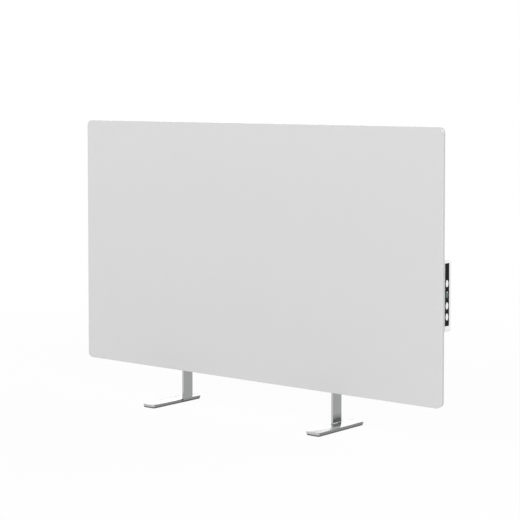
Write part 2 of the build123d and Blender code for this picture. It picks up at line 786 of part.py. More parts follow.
def make_fuse():
    """Tube fuse that lies on the power board between its two caps."""
    x = power_board_left_x + fuse_place[0]
    low_z = power_board_bottom_z + fuse_place[1]
    axis = (x, power_board_back_y + fuse_cap_radius)
    fuse = rod_z(axis, fuse_radius, low_z, low_z + fuse_length)
    for cap_z in (low_z, low_z + fuse_length - fuse_cap_length):
        fuse += rod_z(axis, fuse_cap_radius, cap_z, cap_z + fuse_cap_length)
    return fuse


def make_tilt_switch():
    """Round can that cuts the heater off when it tips over."""
    place = (power_board_left_x + tilt_switch_place[0], power_board_bottom_z + tilt_switch_place[1])
    can = rod_y(place, tilt_switch_radius, power_board_back_y, power_board_back_y + tilt_switch_height)
    return fillet(can.faces().sort_by(Axis.Y)[-1].edges(), component_round)


def make_heater_leads():
    """The two insulated wires from the bus bars to the heater terminal."""
    return group([bent_lead(bus_bar_x, z, lead_radius) for z in lead_zs])


def make_sensor_lead():
    """Two-core lead from the cut-out, between the heater leads, to the same terminal."""
    return bent_lead(cutout_right_x, grommet_z, sensor_lead_radius)


def make_thermal_cutout():
    """Flat thermal cut-out that lies on the back of the heating track."""
    block = box_between(
        (cutout_right_x - cutout_length, track_back_y, grommet_z - cutout_height / 2),
        (cutout_right_x, track_back_y + cutout_thickness, grommet_z + cutout_height / 2),
    )
    return fillet(block.edges().filter_by(Axis.Y), component_round)


def make_temperature_sensor():
    """Small round sensor beside the cut-out, lying on the heating track."""
    right_x = cutout_right_x - cutout_length
    place = (track_back_y + sensor_radius, grommet_z)
    return rod_x(place, sensor_radius, right_x - sensor_length, right_x)


def make_grommet():
    """Rubber ring in the casing's hole, with a flange on each side of the sheet."""
    place = (grommet_x, grommet_z)
    flange_radius = grommet_hole_radius + grommet_flange
    front_y = casing_floor_y - grommet_flange_thickness
    back_y = casing_back_y + grommet_flange_thickness
    ring = rod_y(place, grommet_hole_radius, casing_floor_y, casing_back_y)
    ring += rod_y(place, flange_radius, front_y, casing_floor_y)
    ring += rod_y(place, flange_radius, casing_back_y, back_y)
    return ring - rod_y(place, grommet_bore_radius, front_y, back_y)


# ---------------------------------------------------------------- cable gland
def make_gland_body():
    """Gland body: thread through the cover's wall, hexagon below it and the stub for the dome nut."""
    place = (gland_x, gland_y)
    thread_top_z = box_bottom_z + box_wall + gland_locknut_thickness + gland_thread_spare
    stub_bottom_z = gland_hex_bottom_z - gland_stub_length
    body = rod_z(place, gland_thread_radius, box_bottom_z, thread_top_z)
    body += tall(Pos(*place) * hexagon(gland_flats), gland_hex_bottom_z, box_bottom_z)
    body += rod_z(place, gland_stub_radius, stub_bottom_z, gland_hex_bottom_z)
    return body - rod_z(place, gland_bore_radius, stub_bottom_z, thread_top_z)


def make_gland_dome_nut():
    """Dome nut over the stub, rounded at its lower end."""
    place = (gland_x, gland_y)
    bottom_z = gland_hex_bottom_z - gland_nut_length
    nut = rod_z(place, gland_flats / 2, bottom_z, gland_hex_bottom_z)
    nut = fillet(nut.faces().sort_by(Axis.Z)[0].edges(), gland_nut_round)
    flats_bottom_z = gland_hex_bottom_z - gland_nut_length / 2
    nut += tall(Pos(*place) * hexagon(gland_flats), flats_bottom_z, gland_hex_bottom_z)
    room_radius = gland_stub_radius + gland_nut_wall_gap
    room_bottom_z = gland_hex_bottom_z - gland_stub_length - gland_nut_wall_gap
    nut -= rod_z(place, room_radius, room_bottom_z, gland_hex_bottom_z)
    return nut - rod_z(place, gland_bore_radius, bottom_z, gland_hex_bottom_z)


def make_gland_locknut():
    """Nut on the gland's thread inside the cover."""
    ring = hexagon(gland_flats) - Circle(gland_thread_radius + thread_clearance)
    low_z = box_bottom_z + box_wall
    return tall(Pos(gland_x, gland_y) * ring, low_z, low_z + gland_locknut_thickness)


# ---------------------------------------------------------------- all pieces
right_rail = make_rail()
right_leg = make_leg()
right_foot_pad = make_foot_pad()
rail_rivets = [make_rivet((rail_mid_x, z), casing_back_y + rail_sheet) for z in rivet_zs]

pieces = {
    "front_glass": make_front_glass(),
    "edge_seal": make_edge_seal(),
    "heating_film": make_heating_film(),
    "heating_track": make_heating_track(),
    "bus_bars": make_bus_bars(),
    "insulation_blanket": make_insulation_blanket(),
    "rear_casing": make_rear_casing(),
    "thermal_cutout": make_thermal_cutout(),
    "temperature_sensor": make_temperature_sensor(),
    "heater_leads": make_heater_leads(),
    "sensor_lead": make_sensor_lead(),
    "lead_grommet": make_grommet(),
    "left_rail": mirrored(right_rail),
    "right_rail": right_rail,
    "rail_rivets": both_sides(rail_rivets),
    "left_leg": mirrored(right_leg),
    "right_leg": right_leg,
    "left_foot_pad": mirrored(right_foot_pad),
    "right_foot_pad": right_foot_pad,
    "leg_screws": both_sides([make_leg_screw(z) for z in leg_screw_zs]),
    "leg_washers": both_sides([make_leg_washer(z) for z in leg_screw_zs]),
    "leg_nuts": both_sides([make_leg_nut(z) for z in leg_screw_zs]),
    "control_base": make_control_base(),
    "base_rivets": group([make_rivet(place, base_back_y) for place in base_rivet_places]),
    "control_cover": make_control_cover(),
    "cover_screws": group([make_cover_screw(place) for place in cover_screw_places]),
    "button_fascia": make_fascia(),
    "indicator_lens": make_indicator_lens(),
    "button_board": make_button_board(),
    "button_switches": make_switches(),
    "power_board": make_power_board(),
    "board_screws": group([make_board_screw(place) for place in board_screw_places]),
    "relay": on_power_board(relay_size, relay_place),
    "supply_module": on_power_board(supply_size, supply_place),
    "heater_terminal": make_heater_terminal(),
    "mains_terminal": make_mains_terminal(),
    "mains_fuse": make_fuse(),
    "tilt_switch": make_tilt_switch(),
    "gland_body": make_gland_body(),
    "gland_dome_nut": make_gland_dome_nut(),
    "gland_locknut": make_gland_locknut(),
}
for button_name, button_z in zip(button_names, button_zs):
    pieces[button_name] = make_button(button_z, has_lens=button_name == "power_button")

os.makedirs("parts", exist_ok=True)
for node, shape in pieces.items():
    export_step(shape, f"parts/{node}.step")
print(len(pieces), "nodes written")
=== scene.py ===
"""Looks of the infrared panel heater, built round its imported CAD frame.

The heater is a flat glass panel on two bent steel strips, with a control box behind its right edge.
Every size is in metres and in the frame's own axes: +X along the panel, -Y the way the warm front
looks, +Z up, with the floor at Z 0. Angles are in degrees.
"""

import json
import logging
import math
from dataclasses import dataclass
from enum import Enum

import bmesh
import bpy
from mathutils import Matrix, Vector


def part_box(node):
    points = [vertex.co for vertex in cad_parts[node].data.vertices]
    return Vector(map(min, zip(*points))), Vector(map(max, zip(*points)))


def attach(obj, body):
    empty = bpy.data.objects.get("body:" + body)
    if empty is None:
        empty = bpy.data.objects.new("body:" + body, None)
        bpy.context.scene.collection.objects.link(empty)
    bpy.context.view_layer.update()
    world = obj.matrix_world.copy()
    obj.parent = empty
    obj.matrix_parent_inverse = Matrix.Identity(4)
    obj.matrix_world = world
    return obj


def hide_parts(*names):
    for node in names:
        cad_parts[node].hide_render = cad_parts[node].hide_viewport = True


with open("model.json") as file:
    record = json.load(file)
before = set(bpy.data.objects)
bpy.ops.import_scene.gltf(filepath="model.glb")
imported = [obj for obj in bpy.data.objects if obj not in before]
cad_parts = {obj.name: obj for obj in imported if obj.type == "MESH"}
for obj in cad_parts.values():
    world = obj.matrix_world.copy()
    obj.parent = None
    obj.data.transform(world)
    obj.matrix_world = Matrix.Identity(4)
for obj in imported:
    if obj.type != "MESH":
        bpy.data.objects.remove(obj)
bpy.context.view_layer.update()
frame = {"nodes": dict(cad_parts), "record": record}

log = logging.getLogger("heater")

Colour = tuple[float, float, float]
Place = tuple[float, float, float]
Span = tuple[float, float]
Socket = bpy.types.NodeSocket
Face = bmesh.types.BMFace

MM = 0.001
ROOT_BODY = "heater"

SAME_PLACE = 1e-6                       # points closer than this are one
SQUARE_ON = 0.9                         # least share of an axis in a normal that runs along it
NOISE_BAND: Span = (0.3, 0.7)           # nearly all of a noise pattern lies in this band
NARROW_BAND: Span = (0.35, 0.65)        # a band that gives a pattern more contrast
MIX_FIRST, MIX_SECOND, MIX_RESULT = 6, 7, 2     # the colour sockets of a mix node


# ---- node trees
class NodeSheet:
    """A node tree, with short ways to add nodes and to link them."""

    def __init__(self, tree: bpy.types.NodeTree) -> None:
        """Takes the tree that the nodes go into."""
        self.tree = tree

    def add(self, kind: str, **settings: object) -> bpy.types.Node:
        """Adds a node.

        Args:
            kind: Blender's name of the node type, without "ShaderNode".
            **settings: attributes that are set on the node.

        Returns:
            The new node.
        """
        node = self.tree.nodes.new("ShaderNode" + kind)
        for name, value in settings.items():
            setattr(node, name, value)
        return node

    def feed(self, socket: Socket, value: object) -> None:
        """Links a socket to another node's output, or sets its plain value.

        Args:
            socket: the input that is fed.
            value: an output socket, a number or a colour.
        """
        if isinstance(value, Socket):
            self.tree.links.new(value, socket)
        elif socket.type == "RGBA":
            socket.default_value = (*value, 1.0)
        else:
            socket.default_value = value

    def fill(self, node: bpy.types.Node, **inputs: object) -> None:
        """Feeds several inputs of a node, named with an underscore for each space."""
        for name, value in inputs.items():
            self.feed(node.inputs[name.replace("_", " ")], value)

    def place(self, stretch: Place = (1.0, 1.0, 1.0)) -> Socket:
        """Gives object coordinates, stretched along each axis.

        Args:
            stretch: how many times finer a pattern gets along X, Y and Z.

        Returns:
            The coordinates.
        """
        mapping = self.add("Mapping")
        self.fill(mapping, Vector=self.add("TexCoord").outputs["Object"], Scale=stretch)
        return mapping.outputs["Vector"]

    def noise(
        self, place: Socket, scale: float, detail: float = 3.0, rough: float = 0.55
    ) -> Socket:
        """Makes a noise pattern.

        Args:
            place: coordinates that it reads.
            scale: features a metre.
            detail: octaves.
            rough: how strong the finer octaves are.

        Returns:
            The pattern's value, round one half.
        """
        noise = self.add("TexNoise")
        self.fill(noise, Vector=place, Scale=scale, Detail=detail, Roughness=rough)
        return noise.outputs["Fac"]

    def cells(
        self, place: Socket, scale: float, uneven: float = 1.0, feature: str = "F1"
    ) -> Socket:
        """Makes a pattern of cells.

        Args:
            place: coordinates that it reads.
            scale: cells a metre.
            uneven: how far the cells stray from an even grid.
            feature: Blender's name for what the distance is measured to.

        Returns:
            The distance.
        """
        cells = self.add("TexVoronoi", feature=feature)
        self.fill(cells, Vector=place, Scale=scale, Randomness=uneven)
        return cells.outputs["Distance"]

    def span(
        self, value: Socket, low: float, high: float,
        band: Span = NOISE_BAND, course: str = "LINEAR",
    ) -> Socket:
        """Maps a band of a value to a new range.

        Args:
            value: the value that is mapped.
            low: result at the band's beginning and before it.
            high: result at the band's end and past it.
            band: where the band begins and ends.
            course: Blender's name for the way from one to the other.

        Returns:
            The mapped value.
        """
        node = self.add("MapRange", interpolation_type=course)
        self.fill(node, Value=value, From_Min=band[0], From_Max=band[1], To_Min=low, To_Max=high)
        return node.outputs["Result"]

    def roughness(self, pattern: Socket, middle: float, play: Span) -> Socket:
        """Lets the roughness play round a value, as a noise pattern does."""
        return self.span(pattern, middle + play[0], middle + play[1])

    def combine(self, operation: str, first: Socket, second: Socket) -> Socket:
        """Combines two values.

        Args:
            operation: Blender's name for what is done with them.
            first: the first value.
            second: the second value.

        Returns:
            The result.
        """
        node = self.add("Math", operation=operation)
        self.feed(node.inputs[0], first)
        self.feed(node.inputs[1], second)
        return node.outputs[0]

    def blend(self, share: Socket, first: object, second: object) -> Socket:
        """Mixes two colours.

        Args:
            share: how much of the second colour shows.
            first: a colour or a colour socket.
            second: a colour or a colour socket.

        Returns:
            The mixed colour.
        """
        node = self.add("Mix", data_type="RGBA")
        self.feed(node.inputs["Factor"], share)
        self.feed(node.inputs[MIX_FIRST], first)
        self.feed(node.inputs[MIX_SECOND], second)
        return node.outputs[MIX_RESULT]

    def bump(self, height: Socket, depth: float, strength: float = 1.0) -> Socket:
        """Turns a height pattern into a bumped normal.

        Args:
            height: the pattern, from nought to one.
            depth: height of the relief in metres.
            strength: how much of it shows.

        Returns:
            The bumped normal.
        """
        node = self.add("Bump")
        self.fill(node, Height=height, Distance=depth, Strength=strength)
        return node.outputs["Normal"]


class MaterialSheet(NodeSheet):
    """The node tree of a new material, round its shader."""

    def __init__(self, name: str) -> None:
        """Starts the material.

        Args:
            name: name of the material.
        """
        self.material = bpy.data.materials.new(name)
        self.material.use_nodes = True
        super().__init__(self.material.node_tree)
        self.shader = self.tree.nodes["Principled BSDF"]

    def dress(self, **inputs: object) -> bpy.types.Material:
        """Feeds the shader's inputs and hands over the material."""
        self.fill(self.shader, **inputs)
        return self.material


# ---- finishes
def shaded(colour: Colour, share: float) -> Colour:
    """Gives a colour made lighter or darker by a share."""
    return tuple(min(1.0, part * share) for part in colour)


class Grain(Enum):
    """Which way the fine lines of a ground metal run, as the stretch of their pattern."""

    ALONG_Y = (1.0, 0.02, 1.0)
    ALONG_Z = (1.0, 1.0, 0.02)
    NONE = (1.0, 1.0, 1.0)


@dataclass(frozen=True)
class Finish:
    """What every finish has: the name of its material, its slot in the record and its colour."""

    name: str
    slot: str
    colour: Colour

    def make(self) -> bpy.types.Material:
        """Makes the finish's material."""
        raise NotImplementedError(self.name)


@dataclass(frozen=True)
class PrintedGlass(Finish):
    """Glass printed light grey on its back, with faint clouds, and wipe marks in its gloss."""

    gloss: float = 0.16
    gloss_play: Span = (-0.03, 0.03)
    cloud_scale: float = 5.0
    cloud_shade: float = 0.992
    wipe_scale: float = 30.0
    wipe_stretch: Place = (1.0, 1.0, 0.35)
    ripple_scale: float = 260.0
    ripple_depth: float = 4e-6

    def make(self) -> bpy.types.Material:
        """Makes the finish's material.

        Returns:
            The material.
        """
        sheet = MaterialSheet(self.name)
        place = sheet.place()
        cloud = sheet.span(sheet.noise(place, self.cloud_scale), 0.0, 1.0)
        wipe = sheet.noise(sheet.place(self.wipe_stretch), self.wipe_scale, detail=4.0)
        ripple = sheet.noise(place, self.ripple_scale, detail=2.0)
        return sheet.dress(
            Base_Color=sheet.blend(cloud, shaded(self.colour, self.cloud_shade), self.colour),
            Roughness=sheet.roughness(wipe, self.gloss, self.gloss_play),
            Normal=sheet.bump(ripple, self.ripple_depth),
        )


@dataclass(frozen=True)
class SatinSteel(Finish):
    """Bare metal with fine ground lines, and stains that darken and dull it a little.

    A bend share below one paints shade into the colour towards the bend, where the strip shades
    itself: the share of the colour left at the lower of the two heights; one is left at the upper.
    """

    grain: Grain = Grain.NONE
    gloss: float = 0.2
    gloss_play: Span = (0.05, -0.04)
    line_scale: float = 2600.0
    line_depth: float = 6e-6
    line_light: float = 1.06
    stain_scale: float = 45.0
    stain_shade: float = 0.8
    least_clean: float = 0.86
    # painted shade towards the bend: the share of the colour left low down, and the heights it
    # fades over
    painted_bend_shade: float = 1.0
    painted_shade_heights: Span = (9.5 * MM, 30 * MM)

    def make(self) -> bpy.types.Material:
        """Makes the finish's material.

        Returns:
            The material.
        """
        sheet = MaterialSheet(self.name)
        lines = sheet.noise(sheet.place(self.grain.value), self.line_scale, detail=2.0)
        polish = sheet.noise(sheet.place(), self.stain_scale, detail=4.0)
        clean = sheet.span(polish, self.least_clean, 1.0)
        tone = sheet.blend(clean, shaded(self.colour, self.stain_shade), self.colour)
        light = sheet.span(lines, 0.0, 1.0, NARROW_BAND)
        ground = sheet.blend(light, tone, shaded(self.colour, self.line_light))
        # paints shade into the colour towards the bend
        if self.painted_bend_shade < 1.0:
            ground = self.paint_bend_shade(sheet, ground)
        return sheet.dress(
            Base_Color=ground,
            Metallic=1.0,
            Roughness=sheet.roughness(polish, self.gloss, self.gloss_play),
            Normal=sheet.bump(lines, self.line_depth),
        )

    def paint_bend_shade(self, sheet: NodeSheet, ground: Socket) -> Socket:
        """Paints shade into the colour towards the bend.

        Args:
            sheet: the material's node tree.
            ground: the colour so far.

        Returns:
            The darkened colour.
        """
        axes = sheet.add("SeparateXYZ")
        sheet.feed(axes.inputs[0], sheet.place())
        share = sheet.span(axes.outputs["Z"], self.painted_bend_shade, 1.0, self.painted_shade_heights)
        return sheet.blend(share, (0.0, 0.0, 0.0), ground)


@dataclass(frozen=True)
class PowderCoat(Finish):
    """Powder-coated sheet metal with a fine orange peel."""

    gloss: float = 0.5
    gloss_play: Span = (-0.06, 0.08)
    peel_scale: float = 900.0
    peel_depth: float = 3e-5
    peel_strength: float = 0.6
    cloud_scale: float = 9.0
    cloud_shade: float = 0.965

    def make(self) -> bpy.types.Material:
        """Makes the finish's material.

        Returns:
            The material.
        """
        sheet = MaterialSheet(self.name)
        place = sheet.place()
        peel = sheet.noise(place, self.peel_scale, detail=2.0)
        cloud = sheet.span(sheet.noise(place, self.cloud_scale), 0.0, 1.0)
        return sheet.dress(
            Base_Color=sheet.blend(cloud, shaded(self.colour, self.cloud_shade), self.colour),
            Roughness=sheet.roughness(peel, self.gloss, self.gloss_play),
            Normal=sheet.bump(peel, self.peel_depth, self.peel_strength),
        )


@dataclass(frozen=True)
class MouldedPlastic(Finish):
    """Moulded plastic with a fine spark-eroded texture and faint flow marks."""

    gloss: float = 0.42
    gloss_play: Span = (-0.05, 0.07)
    texture_scale: float = 1600.0
    texture_depth: float = 2.5e-5
    texture_strength: float = 0.5
    flow_scale: float = 22.0
    flow_shade: float = 0.97

    def make(self) -> bpy.types.Material:
        """Makes the finish's material.

        Returns:
            The material.
        """
        sheet = MaterialSheet(self.name)
        place = sheet.place()
        texture = sheet.noise(place, self.texture_scale, detail=1.0)
        flow = sheet.span(sheet.noise(place, self.flow_scale, detail=4.0), 0.0, 1.0)
        return sheet.dress(
            Base_Color=sheet.blend(flow, shaded(self.colour, self.flow_shade), self.colour),
            Roughness=sheet.roughness(texture, self.gloss, self.gloss_play),
            Normal=sheet.bump(texture, self.texture_depth, self.texture_strength),
        )


@dataclass(frozen=True)
class GlossPlastic(Finish):
    """Polished plastic with hairline wipe marks, which can be clear or lit from behind."""

    gloss: float = 0.09
    gloss_play: Span = (-0.03, 0.05)
    wipe_scale: float = 700.0
    wipe_stretch: Place = (1.0, 0.3, 1.0)
    dust_scale: float = 140.0
    dust_band: Span = (0.4, 0.75)
    dust_light: float = 1.12
    shine: float = 0.5
    glow: float = 0.0
    clear: float = 0.0

    def make(self) -> bpy.types.Material:
        """Makes the finish's material.

        Returns:
            The material.
        """
        sheet = MaterialSheet(self.name)
        wipe = sheet.noise(sheet.place(self.wipe_stretch), self.wipe_scale, detail=3.0)
        dust = sheet.noise(sheet.place(), self.dust_scale, detail=5.0, rough=0.7)
        dusty = sheet.span(dust, 0.0, 1.0, self.dust_band)
        sheet.dress(
            Base_Color=sheet.blend(dusty, self.colour, shaded(self.colour, self.dust_light)),
            Roughness=sheet.roughness(wipe, self.gloss, self.gloss_play),
            Specular_IOR_Level=self.shine,
            Transmission_Weight=self.clear,
        )
        if self.glow:
            sheet.dress(Emission_Color=self.colour, Emission_Strength=self.glow)
        return sheet.material


@dataclass(frozen=True)
class Rubber(Finish):
    """Matt rubber with a fine grain and a trace of dust."""

    gloss: float = 0.78
    gloss_play: Span = (-0.08, 0.1)
    grain_scale: float = 1400.0
    grain_depth: float = 5e-5
    grain_strength: float = 0.7
    dust_scale: float = 120.0
    dust_band: Span = (0.5, 0.8)
    dust_light: float = 1.35

    def make(self) -> bpy.types.Material:
        """Makes the finish's material.

        Returns:
            The material.
        """
        sheet = MaterialSheet(self.name)
        place = sheet.place()
        grain = sheet.noise(place, self.grain_scale, detail=2.0)
        dust = sheet.noise(place, self.dust_scale, detail=6.0, rough=0.7)
        dusty = sheet.span(dust, 0.0, 1.0, self.dust_band)
        return sheet.dress(
            Base_Color=sheet.blend(dusty, self.colour, shaded(self.colour, self.dust_light)),
            Roughness=sheet.roughness(grain, self.gloss, self.gloss_play),
            Normal=sheet.bump(grain, self.grain_depth, self.grain_strength),
        )


@dataclass(frozen=True)
class CircuitBoard(Finish):
    """Solder resist over copper tracks, with rows of tinned pads."""

    copper: Colour = (0.05, 0.26, 0.11)
    track_scale: float = 130.0
    track_band: Span = (0.06, 0.09)
    track_height: float = 3.5e-5
    pad: Colour = (0.62, 0.63, 0.6)
    pad_scale: float = 390.0
    pad_band: Span = (0.22, 0.26)
    pad_share: float = 0.35
    gloss_scale: float = 500.0
    gloss_range: Span = (0.28, 0.42)

    def make(self) -> bpy.types.Material:
        """Makes the finish's material.

        Returns:
            The material.
        """
        sheet = MaterialSheet(self.name)
        place = sheet.place()
        edges = sheet.cells(place, self.track_scale, feature="DISTANCE_TO_EDGE")
        copper = sheet.span(edges, 1.0, 0.0, self.track_band)
        dots = sheet.cells(place, self.pad_scale, uneven=0.0)
        tinned = sheet.span(dots, self.pad_share, 0.0, self.pad_band)
        green = sheet.blend(copper, self.colour, self.copper)
        return sheet.dress(
            Base_Color=sheet.blend(tinned, green, self.pad),
            Roughness=sheet.span(sheet.noise(place, self.gloss_scale), *self.gloss_range),
            Normal=sheet.bump(copper, self.track_height),
        )


@dataclass(frozen=True)
class Fibre(Finish):
    """Needled fibre: soft, matt, with a felted relief."""

    matt: float = 0.95
    sheen: float = 0.3
    fibre_scale: float = 420.0
    fibre_depth: float = 4e-4
    fibre_stretch: float = 0.15
    loft_band: Span = (0.4, 0.75)
    hollow_shade: float = 0.78

    def make(self) -> bpy.types.Material:
        """Makes the finish's material.

        Returns:
            The material.
        """
        sheet = MaterialSheet(self.name)
        fibres = [
            sheet.noise(sheet.place(stretch), self.fibre_scale, detail=5.0, rough=0.7)
            for stretch in ((self.fibre_stretch, 1.0, 1.0), (1.0, 1.0, self.fibre_stretch))
        ]
        lofted = sheet.span(sheet.combine("MAXIMUM", *fibres), 0.0, 1.0, self.loft_band)
        return sheet.dress(
            Base_Color=sheet.blend(lofted, shaded(self.colour, self.hollow_shade), self.colour),
            Roughness=self.matt,
            Sheen_Weight=self.sheen,
            Normal=sheet.bump(lofted, self.fibre_depth),
        )


@dataclass(frozen=True)
class Foil(Finish):
    """Thin film or foil with a faint crinkle and a mottled tone."""

    metal: float = 0.0
    gloss: float = 0.3
    gloss_play: Span = (-0.06, 0.1)
    crinkle_scale: float = 60.0
    crinkle_depth: float = 8e-5
    crinkle_strength: float = 0.6
    mottle_scale: float = 200.0
    mottle_shade: float = 0.84

    def make(self) -> bpy.types.Material:
        """Makes the finish's material.

        Returns:
            The material.
        """
        sheet = MaterialSheet(self.name)
        place = sheet.place()
        crinkle = sheet.noise(place, self.crinkle_scale, detail=6.0, rough=0.6)
        mottle = sheet.noise(place, self.mottle_scale, detail=4.0)
        tone = sheet.span(mottle, 0.0, 1.0, NARROW_BAND)
        return sheet.dress(
            Base_Color=sheet.blend(tone, shaded(self.colour, self.mottle_shade), self.colour),
            Metallic=self.metal,
            Roughness=sheet.roughness(crinkle, self.gloss, self.gloss_play),
            Normal=sheet.bump(crinkle, self.crinkle_depth, self.crinkle_strength),
        )


STEEL: Colour = (0.33, 0.332, 0.335)
COAT: Colour = (0.56, 0.565, 0.565)

FINISHES: dict[str, Finish] = {
    finish.slot: finish
    for finish in (
        PrintedGlass("printed_glass", "panel_glass", (0.665, 0.665, 0.665)),
        Rubber("silicone_seal", "seal_silicone", (0.30, 0.30, 0.31), gloss=0.6),
        PowderCoat("casing_coat", "casing_steel", COAT),
        Foil("heating_film_amber", "film", (0.55, 0.38, 0.14)),
        Foil("etched_track", "track", (0.42, 0.36, 0.28), metal=1.0),
        Foil("bare_copper", "copper", (0.72, 0.42, 0.24), metal=1.0, gloss=0.26),
        Fibre("fibre_blanket", "insulation", (0.82, 0.80, 0.74)),
        PowderCoat("rail_coat", "rail_steel", COAT),
        SatinSteel("leg_face", "leg_steel", STEEL, grain=Grain.ALONG_Z),
        SatinSteel("bright_zinc", "zinc_steel", (0.58, 0.59, 0.60), gloss=0.24),
        SatinSteel("rivet_aluminium_bare", "rivet_aluminium", (0.70, 0.71, 0.72), gloss=0.3),
        Rubber("pad_rubber_dark", "pad_rubber", (0.12, 0.12, 0.125)),
        Rubber("grommet_black", "grommet_rubber", (0.03, 0.03, 0.03), gloss=0.6),
        MouldedPlastic("cover_white", "cover_plastic", (0.82, 0.82, 0.815)),
        MouldedPlastic("base_white", "base_plastic", (0.76, 0.76, 0.755), gloss=0.5),
        GlossPlastic("fascia_black", "fascia_plastic", (0.010, 0.010, 0.011), shine=0.03),
        GlossPlastic("button_white_satin", "button_white", (0.80, 0.80, 0.795), gloss=0.2),
        GlossPlastic("button_smoked", "button_dark", (0.085, 0.105, 0.095), gloss=0.16),
        GlossPlastic("lens_lit", "lens_clear", (0.62, 0.80, 0.70), glow=0.35, clear=0.3),
        CircuitBoard("board_resist", "board_green", (0.02, 0.13, 0.05)),
        MouldedPlastic("case_black", "component_black", (0.03, 0.03, 0.03)),
        MouldedPlastic("case_white", "component_white", (0.72, 0.72, 0.70)),
        MouldedPlastic("terminal_green", "terminal_plastic", (0.10, 0.28, 0.14)),
        GlossPlastic("fuse_tube", "fuse_glass", (0.78, 0.80, 0.82), clear=0.4),
        Rubber("wire_red_silicone", "wire_red", (0.46, 0.045, 0.035), gloss=0.45),
        Rubber("wire_white_silicone", "wire_white", (0.72, 0.72, 0.69), gloss=0.45),
        MouldedPlastic("sensor_dip", "sensor_epoxy", (0.05, 0.05, 0.055), gloss=0.25),
        MouldedPlastic("gland_nylon", "gland_plastic", (0.62, 0.62, 0.61), gloss=0.48),
    )
}
# a lighter copy of the glass for its rounded rim: a painted highlight along the edge
GLASS_RIM_PAINTED_HIGHLIGHT = PrintedGlass("glass_rim_painted_highlight", "panel_glass", (0.70, 0.705, 0.70))
# a lighter copy of the steel for the cut edges and foot ends: painted light
STRIP_EDGE_PAINTED_LIGHT = SatinSteel("leg_edge_painted_light", "leg_steel", (0.50, 0.502, 0.505), line_scale=1200.0)
# a darker copy of the steel for the foot and the bend: painted shade, which also darkens the post's
# reflection in the foot
FOOT_FACE_PAINTED_SHADE = SatinSteel(
    "foot_face_painted_shade", "leg_steel", (0.28, 0.282, 0.285),
    grain=Grain.ALONG_Y, gloss=0.23, line_depth=2e-6,
)
# a darker copy still for the foot's long sides: painted shade
FOOT_SIDE_PAINTED_SHADE = SatinSteel("foot_side_painted_shade", "leg_steel", (0.23, 0.232, 0.235), grain=Grain.ALONG_Y)
# the post's face over its foot: the steel with painted shade towards the bend
BEND_SIDE_PAINTED_SHADE = SatinSteel(
    "leg_bend_side_painted_shade", "leg_steel", STEEL, grain=Grain.ALONG_Z, gloss=0.14, painted_bend_shade=0.3
)


class Workshop:
    """Makes each finish's material once and hands it out."""

    def __init__(self) -> None:
        """Starts with no material made."""
        self.made: dict[str, bpy.types.Material] = {}

    def material(self, finish: Finish) -> bpy.types.Material:
        """Gives the material of a finish, made the first time that it is asked for.

        Args:
            finish: the finish.

        Returns:
            Its material.
        """
        if finish.name not in self.made:
            self.made[finish.name] = finish.make()
        return self.made[finish.name]

    def dress_nodes(self) -> None:
        """Gives each CAD node the finish of its slot in the record."""
        for part in frame["record"]["subparts"]:
            node = frame["nodes"][part["node"]]
            material = self.material(FINISHES[part["material_slot"]])
            if not node.material_slots:
                node.data.materials.append(material)
            for slot in node.material_slots:
                slot.material = material
            log.info("%s is dressed in %s", part["node"], material.name)


# ---- modelling
class Facing(Enum):
    """Which way a flat outline looks when it is first drawn."""

    UP = Matrix.Identity(4)
    FRONT = Matrix.Rotation(math.radians(90), 4, "X")
    RIGHT = Matrix.Rotation(math.radians(90), 4, "Y")

    def lay(self, middle: Vector, width: float, height: float) -> Matrix:
        """Tells where an outline of unit size goes, and how far it is stretched."""
        return Matrix.Translation(middle) @ self.value @ Matrix.Diagonal((width, height, 1.0, 1.0))


